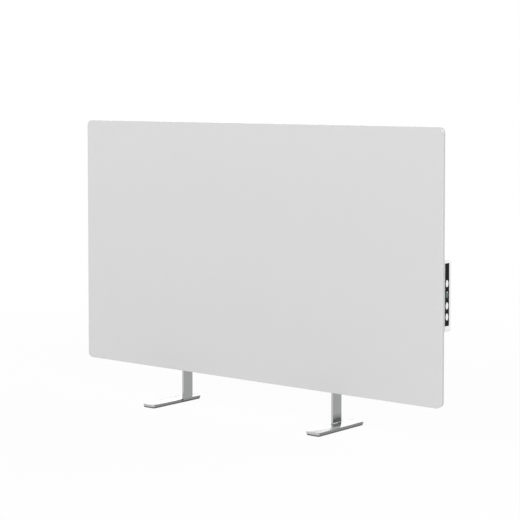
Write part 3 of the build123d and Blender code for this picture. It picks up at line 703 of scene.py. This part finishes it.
class Draft:
    """A mesh being modelled where it belongs, from flat outlines that are thickened and rounded."""

    def __init__(self) -> None:
        """Starts with an empty mesh."""
        self.mesh = bmesh.new()

    def rectangle(self, facing: Facing, middle: Vector, width: float, height: float) -> Face:
        """Draws a rectangle.

        Args:
            facing: which way it looks.
            middle: its centre.
            width: its size along its own first axis.
            height: its size along its own second axis.

        Returns:
            Its face.
        """
        made = bmesh.ops.create_grid(
            self.mesh, x_segments=1, y_segments=1, size=0.5,
            matrix=facing.lay(middle, width, height),
        )
        return made["verts"][0].link_faces[0]

    def oval(
        self, facing: Facing, middle: Vector, width: float, height: float, segments: int
    ) -> Face:
        """Draws a filled circle or oval.

        Args:
            facing: which way it looks.
            middle: its centre.
            width: its size along its own first axis.
            height: its size along its own second axis.
            segments: how many edges it has.

        Returns:
            Its face.
        """
        made = bmesh.ops.create_circle(
            self.mesh, cap_ends=True, segments=segments, radius=0.5,
            matrix=facing.lay(middle, width, height),
        )
        return made["verts"][0].link_faces[0]

    def bevel(self, items: list, radius: float, segments: int, affect: str) -> None:
        """Rounds corners or edges, as Blender's name in affect says."""
        bmesh.ops.bevel(
            self.mesh, geom=items, offset=radius, offset_type="OFFSET", segments=segments,
            profile=0.5, affect=affect, material=-1, clamp_overlap=True,
        )

    def round_corners(
        self, corners: list[bmesh.types.BMVert], radius: float, segments: int
    ) -> None:
        """Rounds the corners of a flat outline."""
        self.bevel(corners, radius, segments, "VERTICES")

    def round_edges(self, edges: list[bmesh.types.BMEdge], radius: float, segments: int) -> None:
        """Rounds edges, or chamfers them with one segment."""
        self.bevel(edges, radius, segments, "EDGES")

    def thicken(self, faces: list[Face], step: Vector) -> list[Face]:
        """Extrudes a region of faces.

        Args:
            faces: the faces.
            step: how far, and which way.

        Returns:
            The faces at the far end.
        """
        made = bmesh.ops.extrude_face_region(self.mesh, geom=faces)["geom"]
        verts = [item for item in made if isinstance(item, bmesh.types.BMVert)]
        bmesh.ops.translate(self.mesh, verts=verts, vec=step)
        return [item for item in made if isinstance(item, Face)]

    def step_out(self, face: Face, size: Vector) -> Face:
        """Extrudes a face on the spot and resizes it about its middle.

        Args:
            face: the face.
            size: share of its old size along X, Y and Z.

        Returns:
            The resized face.
        """
        end = bmesh.ops.extrude_discrete_faces(self.mesh, faces=[face])["faces"][0]
        space = Matrix.Translation(-end.calc_center_median())
        bmesh.ops.scale(self.mesh, verts=list(end.verts), vec=size, space=space)
        return end

    def cut(self, cutter: "Draft") -> None:
        """Takes another draft's volume out of this one.

        Args:
            cutter: the draft that is taken away.
        """
        body, tool = self.as_object("cut_body"), cutter.as_object("cut_tool")
        trim = body.modifiers.new("trim", "BOOLEAN")
        trim.operation, trim.solver, trim.object = "DIFFERENCE", "EXACT", tool
        trimmed = body.evaluated_get(bpy.context.evaluated_depsgraph_get())
        result = bpy.data.meshes.new_from_object(trimmed)
        self.mesh.clear()
        self.mesh.from_mesh(result)
        for spent in (body, tool):
            spent_mesh = spent.data
            bpy.data.objects.remove(spent)
            bpy.data.meshes.remove(spent_mesh)
        bpy.data.meshes.remove(result)

    def as_object(self, name: str) -> bpy.types.Object:
        """Makes an object of the draft as it stands.

        Args:
            name: name of the object and of its mesh.

        Returns:
            The new object, linked to the scene.
        """
        bmesh.ops.recalc_face_normals(self.mesh, faces=self.mesh.faces[:])
        data = bpy.data.meshes.new(name)
        self.mesh.to_mesh(data)
        made = bpy.data.objects.new(name, data)
        bpy.context.scene.collection.objects.link(made)
        return made


@dataclass
class Piece:
    """A finished piece: its draft, its name, the body it rides on and the nodes it stands for."""

    draft: Draft
    name: str
    body: str
    finishes: tuple[Finish, ...]
    stands_for: tuple[str, ...]
    smooth_below: float = 32.0

    def place(self, workshop: Workshop) -> None:
        """Turns the draft into a scene object with its materials.

        Args:
            workshop: where the materials come from.
        """
        mesh = self.draft.mesh
        bmesh.ops.remove_doubles(mesh, verts=mesh.verts[:], dist=SAME_PLACE)
        bmesh.ops.recalc_face_normals(mesh, faces=mesh.faces[:])
        limit = math.radians(self.smooth_below)
        for face in mesh.faces:
            face.smooth = True
        for edge in mesh.edges:
            edge.smooth = edge.calc_face_angle(math.pi) < limit
        made = self.draft.as_object(self.name)
        mesh.free()
        for finish in self.finishes:
            made.data.materials.append(workshop.material(finish))
        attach(made, self.body)
        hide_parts(*self.stands_for)
        nodes = ", ".join(self.stands_for)
        log.info("%s rides on %s and stands for %s", self.name, self.body, nodes)


# ---- panel
@dataclass
class FrontPlate:
    """The glass plate: rounded corners, a polished round in front and a fine chamfer behind."""

    node: str = "front_glass"
    corner_radius: float = 12 * MM
    corner_segments: int = 16
    front_round: float = 0.7 * MM
    front_segments: int = 4
    back_chamfer: float = 0.6 * MM
    # faces below this share of Y are the rim's, which carry the painted highlight
    rim_below: float = 0.8              # share of Y in its normal below which a face is the rim's

    def build(self) -> Draft:
        """Models the plate between the two faces of the CAD glass.

        Returns:
            The plate.
        """
        low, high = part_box(self.node)
        draft = Draft()
        middle = Vector(((low.x + high.x) / 2, low.y, (low.z + high.z) / 2))
        outline = draft.rectangle(Facing.FRONT, middle, high.x - low.x, high.z - low.z)
        draft.round_corners(list(outline.verts), self.corner_radius, self.corner_segments)
        back = draft.thicken(draft.mesh.faces[:], Vector((0.0, high.y - low.y, 0.0)))
        front_rim = [
            edge
            for edge in draft.mesh.edges
            if all(abs(vert.co.y - low.y) < SAME_PLACE for vert in edge.verts)
        ]
        draft.round_edges(front_rim, self.front_round, self.front_segments)
        back_rim = list({edge for face in back for edge in face.edges})
        draft.round_edges(back_rim, self.back_chamfer, 1)
        draft.mesh.normal_update()
        for face in draft.mesh.faces:
            face.material_index = int(abs(face.normal.y) < self.rim_below)
        return draft

    def dress(self, workshop: Workshop) -> None:
        """Places the plate in its printed glass, with a painted highlight on its rounded rim."""
        finishes = (FINISHES["panel_glass"], GLASS_RIM_PAINTED_HIGHLIGHT)
        Piece(self.build(), "front_plate", ROOT_BODY, finishes, (self.node,)).place(workshop)


# ---- legs
class Side(Enum):
    """Which side of the heater a leg stands on."""

    LEFT = -1
    RIGHT = 1

    @property
    def word(self) -> str:
        """The side's word in the nodes' names."""
        return self.name.lower()


class StripFace(Enum):
    """The faces of a leg's strip, in the order of their finishes.

    The bend side is the post's face that looks out over the foot, and the post face the one behind.
    """

    # the cut edges carry a lighter copy of the steel as painted light; the foot, the bend side and
    # the foot's side carry darker copies as painted shade
    POST = 0
    CUT_EDGE = 1
    FOOT = 2
    BEND_SIDE_PAINTED_SHADE = 3
    FOOT_SIDE_PAINTED_SHADE = 4


@dataclass
class StripLeg:
    """One leg: a T-shaped steel blank whose arm is bent up into the post.

    The last three fields sort the small faces by their normals. A face of the post with less than
    post_turn of X is a cut edge. On the foot's rim, a face with more than end_turn of Y is one too,
    and a face with more than side_turn of X belongs to the foot's side.
    """

    side: Side
    thickness: float = 5 * MM
    bend_inner: float = 1.5 * MM
    bend_segments: int = 12
    foot_width: float = 36 * MM
    foot_corner: float = 6 * MM
    post_width: float = 30 * MM
    post_corner: float = 8 * MM
    corner_segments: int = 12
    relief_width: float = 0.8 * MM
    relief_past_bend: float = 2 * MM
    edge_round: float = 0.3 * MM
    edge_segments: int = 3
    sharp_above: float = 50.0
    post_turn: float = 0.7
    end_turn: float = 0.5
    side_turn: float = 0.4

    def build(self) -> Draft:
        """Models the right leg from its flat blank, and mirrors it for the left side.

        Returns:
            The leg.
        """
        low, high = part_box("right_leg")
        post_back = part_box("right_rail")[1].y
        post_front = post_back - self.post_width
        bend_line = low.x + self.thickness + self.bend_inner
        foot_top = low.z + self.thickness
        draft = Draft()
        middle = Vector((high.x - self.foot_width / 2, 0.0, low.z))
        self.draw_foot(draft, middle, high.y - low.y)
        self.cut_reliefs(draft, bend_line, post_front, post_back)
        draft.thicken(draft.mesh.faces[:], Vector((0.0, 0.0, self.thickness)))
        bmesh.ops.recalc_face_normals(draft.mesh, faces=draft.mesh.faces[:])
        arm = [
            face
            for face in draft.mesh.faces
            if abs(face.calc_center_median().x - bend_line) < SAME_PLACE
            and abs(face.normal.x) > SQUARE_ON
            and post_front < face.calc_center_median().y < post_back
        ]
        end = self.bend_up(draft, arm, Vector((bend_line, 0.0, foot_top + self.bend_inner)))
        top = draft.thicken(end, Vector((0.0, 0.0, high.z - foot_top - self.bend_inner)))
        self.round_post_top(draft, top)
        self.break_edges(draft)
        if self.side is Side.LEFT:
            mirror = Vector((-1.0, 1.0, 1.0))
            bmesh.ops.scale(draft.mesh, verts=draft.mesh.verts[:], vec=mirror)
        self.mark_finishes(draft, foot_top)
        return draft

    def draw_foot(self, draft: Draft, middle: Vector, length: float) -> None:
        """Draws the foot bar's rounded outline."""
        outline = draft.rectangle(Facing.UP, middle, self.foot_width, length)
        draft.round_corners(list(outline.verts), self.foot_corner, self.corner_segments)

    def cut_reliefs(self, draft: Draft, bend_line: float, front: float, back: float) -> None:
        """Cuts the notch behind the bend, and the relief slot at each of its ends.

        Args:
            draft: the leg, still flat.
            bend_line: where the bend starts along X.
            front: front edge of the post along Y.
            back: its back edge.
        """
        far_x = bend_line + self.relief_past_bend
        slot_front, slot_back = front - self.relief_width, back + self.relief_width
        across = [(Vector((1.0, 0.0, 0.0)), x) for x in (bend_line, far_x)]
        along = [(Vector((0.0, 1.0, 0.0)), y) for y in (slot_front, front, back, slot_back)]
        for normal, place in across + along:
            bmesh.ops.bisect_plane(
                draft.mesh, geom=draft.mesh.verts[:] + draft.mesh.edges[:] + draft.mesh.faces[:],
                plane_co=normal * place, plane_no=normal,
            )
        spent = []
        for face in draft.mesh.faces:
            middle = face.calc_center_median()
            inside = slot_front < middle.y < slot_back
            beside = not front < middle.y < back
            if inside and (middle.x < bend_line or (beside and middle.x < far_x)):
                spent.append(face)
        bmesh.ops.delete(draft.mesh, geom=spent, context="FACES")

    def bend_up(self, draft: Draft, arm: list[Face], axis: Vector) -> list[Face]:
        """Bends the arm up round an axis along Y.

        Args:
            draft: the leg.
            arm: the faces that the bend starts from.
            axis: a point on the bend's axis.

        Returns:
            The faces at the end of the bend, looking up.
        """
        made = bmesh.ops.spin(
            draft.mesh, geom=arm, cent=axis, axis=Vector((0.0, 1.0, 0.0)), dvec=Vector(),
            angle=math.radians(90), steps=self.bend_segments,
            use_merge=False, use_duplicate=False,
        )["geom_last"]
        return [item for item in made if isinstance(item, Face)]

    def round_post_top(self, draft: Draft, top: list[Face]) -> None:
        """Rounds the two upper corners of the post.

        Args:
            draft: the leg.
            top: the faces at the upper end of the post.
        """
        rim = {edge for face in top for edge in face.edges}
        through = [
            edge
            for edge in rim
            if abs(edge.verts[0].co.x - edge.verts[1].co.x) > self.thickness / 2
        ]
        through.sort(key=lambda edge: edge.verts[0].co.y)
        draft.round_edges([through[0], through[-1]], self.post_corner, self.corner_segments)

    def break_edges(self, draft: Draft) -> None:
        """Breaks every sharp edge of the strip with a small round.

        Args:
            draft: the leg.
        """
        bmesh.ops.remove_doubles(draft.mesh, verts=draft.mesh.verts[:], dist=SAME_PLACE)
        bmesh.ops.recalc_face_normals(draft.mesh, faces=draft.mesh.faces[:])
        limit = math.radians(self.sharp_above)
        sharp = [
            edge
            for edge in draft.mesh.edges
            if edge.is_manifold and edge.calc_face_angle(0.0) > limit
        ]
        draft.round_edges(sharp, self.edge_round, self.edge_segments)

    def sort_face(self, face: Face, foot_top: float) -> StripFace:
        """Tells which of the strip's faces a small face belongs to.

        Args:
            face: the small face.
            foot_top: height of the foot bar's upper face.

        Returns:
            The strip's face.
        """
        height, normal = face.calc_center_median().z, face.normal
        if height > foot_top + self.bend_inner:
            if abs(normal.x) < self.post_turn:
                return StripFace.CUT_EDGE
            return StripFace.BEND_SIDE_PAINTED_SHADE if normal.x * self.side.value > 0 else StripFace.POST
        if height < foot_top and abs(normal.y) > self.end_turn:
            return StripFace.CUT_EDGE
        if height < foot_top and abs(normal.x) > self.side_turn:
            return StripFace.FOOT_SIDE_PAINTED_SHADE
        return StripFace.FOOT

    def mark_finishes(self, draft: Draft, foot_top: float) -> None:
        """Marks each face of the strip with its finish, and so where light and shade are painted on
        it.

        Args:
            draft: the leg.
            foot_top: height of the foot bar's upper face.
        """
        bmesh.ops.recalc_face_normals(draft.mesh, faces=draft.mesh.faces[:])
        for face in draft.mesh.faces:
            face.material_index = self.sort_face(face, foot_top).value

    def dress(self, workshop: Workshop) -> None:
        """Places the leg in its satin steel, with painted light on the cut edges and painted shade
        on the foot and the post's bend side.

        Args:
            workshop: where the materials come from.
        """
        # lighter and darker copies of the steel: painted light and painted shade
        finishes = (FINISHES["leg_steel"], STRIP_EDGE_PAINTED_LIGHT, FOOT_FACE_PAINTED_SHADE, BEND_SIDE_PAINTED_SHADE, FOOT_SIDE_PAINTED_SHADE)
        node = f"{self.side.word}_leg"
        Piece(self.build(), f"{node}_strip", ROOT_BODY, finishes, (node,)).place(workshop)


# ---- controls
@dataclass
class PushButton:
    """An oval cap with a crowned face, the flange that keeps it in and the stem behind it."""

    node: str
    segments: int = 64
    stem_radius: float = 1.7 * MM
    flange_overhang: float = 1.0 * MM
    flange_thickness: float = 1.0 * MM
    flange_behind_face: float = 3.7 * MM
    edge_round: float = 0.6 * MM
    edge_segments: int = 4
    crown: float = 0.2 * MM
    crown_steps: int = 4
    lens_clearance: float = 0.05 * MM
    lens_segments: int = 32
    cut_past: float = 1 * MM            # how far the lens hole's cutter stands out at each end

    def build(self) -> Draft:
        """Models stem, flange and cap in one run, from the stem's end to the crowned face.

        Returns:
            The button, without the lens hole.
        """
        low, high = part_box(self.node)
        middle = (low + high) / 2
        flange_width, flange_height = high.y - low.y, high.z - low.z
        cap_width = flange_width - 2 * self.flange_overhang
        cap_height = flange_height - 2 * self.flange_overhang
        flange_front = high.x - self.flange_behind_face
        flange_back = flange_front - self.flange_thickness
        stem = 2 * self.stem_radius
        draft = Draft()
        start = Vector((low.x, middle.y, middle.z))
        end = draft.oval(Facing.RIGHT, start, stem, stem, self.segments)
        end = draft.thicken([end], Vector((flange_back - low.x, 0.0, 0.0)))[0]
        end = draft.step_out(end, Vector((1.0, flange_width / stem, flange_height / stem)))
        end = draft.thicken([end], Vector((self.flange_thickness, 0.0, 0.0)))[0]
        shrink = Vector((1.0, cap_width / flange_width, cap_height / flange_height))
        end = draft.step_out(end, shrink)
        rise = self.flange_behind_face - self.crown
        end = draft.thicken([end], Vector((rise, 0.0, 0.0)))[0]
        draft.round_edges(list(end.edges), self.edge_round, self.edge_segments)
        self.crown_face(draft)
        return draft

    def crown_face(self, draft: Draft) -> None:
        """Raises the cap's face in rings, so that it stands highest in the middle.

        Args:
            draft: the button.
        """
        face = max(draft.mesh.faces, key=lambda each: each.calc_center_median().x)
        for rings_left in range(self.crown_steps, 0, -1):
            shrink = rings_left / (rings_left + 1)
            face = draft.step_out(face, Vector((1.0, shrink, shrink)))
            lift = self.crown * (2 * rings_left - 1) / self.crown_steps**2
            bmesh.ops.translate(draft.mesh, verts=list(face.verts), vec=Vector((lift, 0.0, 0.0)))

    def lens_hole(self) -> Draft:
        """Models the hole that the lens sits in.

        Returns:
            What is cut out of the button.
        """
        low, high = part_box("indicator_lens")
        width = high.z - low.z + 2 * self.lens_clearance
        start = Vector((low.x - self.cut_past, (low.y + high.y) / 2, (low.z + high.z) / 2))
        tool = Draft()
        disc = tool.oval(Facing.RIGHT, start, width, width, self.lens_segments)
        tool.thicken([disc], Vector((high.x - low.x + 2 * self.cut_past, 0.0, 0.0)))
        return tool

    def dress(self, workshop: Workshop) -> None:
        """Places the button in its plastic, and gives the dark one the hole for its lens.

        Args:
            workshop: where the materials come from.
        """
        dark = self.node == "power_button"
        finishes = (FINISHES["button_dark" if dark else "button_white"],)
        draft = self.build()
        if dark:
            draft.cut(self.lens_hole())
        name = self.node.replace("_button", "_cap")
        Piece(draft, name, self.node, finishes, (self.node,)).place(workshop)


# ---- studio
@dataclass(frozen=True)
class Softbox:
    """A rectangular lamp that looks at a point."""

    name: str
    at: Place
    aim: Place
    width: float
    height: float
    power: float

    def build(self) -> None:
        """Makes the lamp, out of the camera's own sight."""
        data = bpy.data.lights.new(self.name, "AREA")
        data.shape = "RECTANGLE"
        data.size, data.size_y, data.energy = self.width, self.height, self.power
        lamp = bpy.data.objects.new(self.name, data)
        lamp.location = self.at
        look = Vector(self.aim) - Vector(self.at)
        lamp.rotation_euler = look.to_track_quat("-Z", "Y").to_euler()
        lamp.visible_camera = False
        bpy.context.scene.collection.objects.link(lamp)


@dataclass
class Studio:
    """Pale floor, white surroundings, soft lamps and the photograph's camera.

    What the camera sees of the floor is plain white by a share that grows from floor_shown_near to
    floor_shown_far between the two distances of floor_fade. The light on the object comes from the
    floor's own colour, the lamps and surroundings of strength sky_fill.
    """

    floor_radius: float = 14.0
    floor_segments: int = 96
    floor_colour: Colour = (0.86, 0.86, 0.86)
    floor_rough: float = 0.9
    floor_shown_near: float = 0.93
    floor_shown_far: float = 1.0
    floor_fade: Span = (0.8, 2.6)
    sky_fill: float = 0.62
    lamps: tuple[Softbox, ...] = (
        Softbox("key_lamp", (-2.1, -4.0, 3.0), (0.0, 0.0, 0.35), 3.2, 2.4, 79.0),
        Softbox("fill_lamp", (3.6, -2.4, 2.2), (0.0, 0.0, 0.35), 2.6, 2.0, 46.0),
        Softbox("back_lamp", (-2.6, 3.8, 1.3), (0.0, 0.0, 0.3), 3.2, 1.8, 32.0),
        Softbox("rear_lamp", (2.8, 3.4, 2.8), (0.0, 0.0, 0.35), 2.6, 2.0, 62.0),
    )
    camera_at: Place = (2.2850, -2.7337, 0.7269)
    camera_turn: float = 39.551         # how far it stands to the right of the panel's normal
    camera_dip: float = 2.972           # how far it looks down
    focal_pixels: float = 1634.9
    axis_height: float = 169.52         # pixels from the top of the picture to the camera's axis
    picture_side: float = 520.0         # pixels
    sensor_width: float = 36.0          # millimetres, as Blender wants it
    sight: float = 100.0

    def build(self) -> None:
        """Builds floor, surroundings, lamps and camera."""
        self.lay_floor()
        self.fill_sky()
        for lamp in self.lamps:
            lamp.build()
            log.info("%s lights the scene", lamp.name)
        self.set_camera()
        bpy.context.scene.view_settings.view_transform = "Standard"

    @staticmethod
    def shown(sheet: NodeSheet) -> Socket:
        """Tells where a ray comes from the camera, a reflection or clear glass.

        Args:
            sheet: node tree of the floor or of the surroundings.

        Returns:
            One for such rays and nought for the light that falls on the object.
        """
        path = sheet.add("LightPath")
        result = path.outputs["Is Camera Ray"]
        for name in ("Is Glossy Ray", "Is Transmission Ray"):
            result = sheet.combine("MAXIMUM", result, path.outputs[name])
        return result

    def lay_floor(self) -> None:
        """Lays a round pale floor that goes over into the white surroundings far away."""
        draft = Draft()
        width = 2 * self.floor_radius
        draft.oval(Facing.UP, Vector((0.0, 0.0, 0.0)), width, width, self.floor_segments)
        floor = draft.as_object("floor")
        draft.mesh.free()
        sheet = MaterialSheet("pale_floor")
        sheet.dress(
            Base_Color=self.floor_colour, Roughness=self.floor_rough, Specular_IOR_Level=0.0
        )
        away = sheet.add("VectorMath", operation="LENGTH")
        sheet.feed(away.inputs[0], sheet.add("TexCoord").outputs["Object"])
        fade = sheet.span(
            away.outputs["Value"], self.floor_shown_near, self.floor_shown_far,
            self.floor_fade, "SMOOTHSTEP",
        )
        share = sheet.combine("MULTIPLY", self.shown(sheet), fade)
        mix = sheet.add("MixShader")
        white = sheet.add("Emission")
        for socket, source in zip(mix.inputs, (share, sheet.shader.outputs[0], white.outputs[0])):
            sheet.feed(socket, source)
        sheet.feed(sheet.tree.nodes["Material Output"].inputs["Surface"], mix.outputs[0])
        floor.data.materials.append(sheet.material)

    def fill_sky(self) -> None:
        """Surrounds the scene with white for the eye, and with a softer fill for the light."""
        world = bpy.data.worlds.new("surroundings")
        bpy.context.scene.world = world
        world.use_nodes = True
        sheet = NodeSheet(world.node_tree)
        strength = sheet.span(self.shown(sheet), self.sky_fill, 1.0, (0.0, 1.0))
        sheet.fill(world.node_tree.nodes["Background"], Color=(1.0, 1.0, 1.0), Strength=strength)

    def set_camera(self) -> None:
        """Puts the camera where the photograph was taken from."""
        data = bpy.data.cameras.new("camera")
        data.sensor_width = self.sensor_width
        data.lens = self.focal_pixels / self.picture_side * self.sensor_width
        data.shift_y = (self.axis_height - self.picture_side / 2) / self.picture_side
        data.clip_end = self.sight
        camera = bpy.data.objects.new("camera", data)
        camera.location = self.camera_at
        camera.rotation_euler = (
            math.radians(90.0 - self.camera_dip), 0.0, math.radians(self.camera_turn)
        )
        bpy.context.scene.collection.objects.link(camera)
        bpy.context.scene.camera = camera


# ---- the heater
BUTTONS = ("mode_button", "power_button", "plus_button", "minus_button")


def main() -> None:
    """Dresses the CAD nodes, builds the pieces over them and sets up the studio."""
    logging.basicConfig(level=logging.INFO, format="%(message)s")
    workshop = Workshop()
    workshop.dress_nodes()
    FrontPlate().dress(workshop)
    for side in Side:
        StripLeg(side).dress(workshop)
    for node in BUTTONS:
        PushButton(node).dress(workshop)
    Studio().build()


if __name__ == "__main__":
    main()
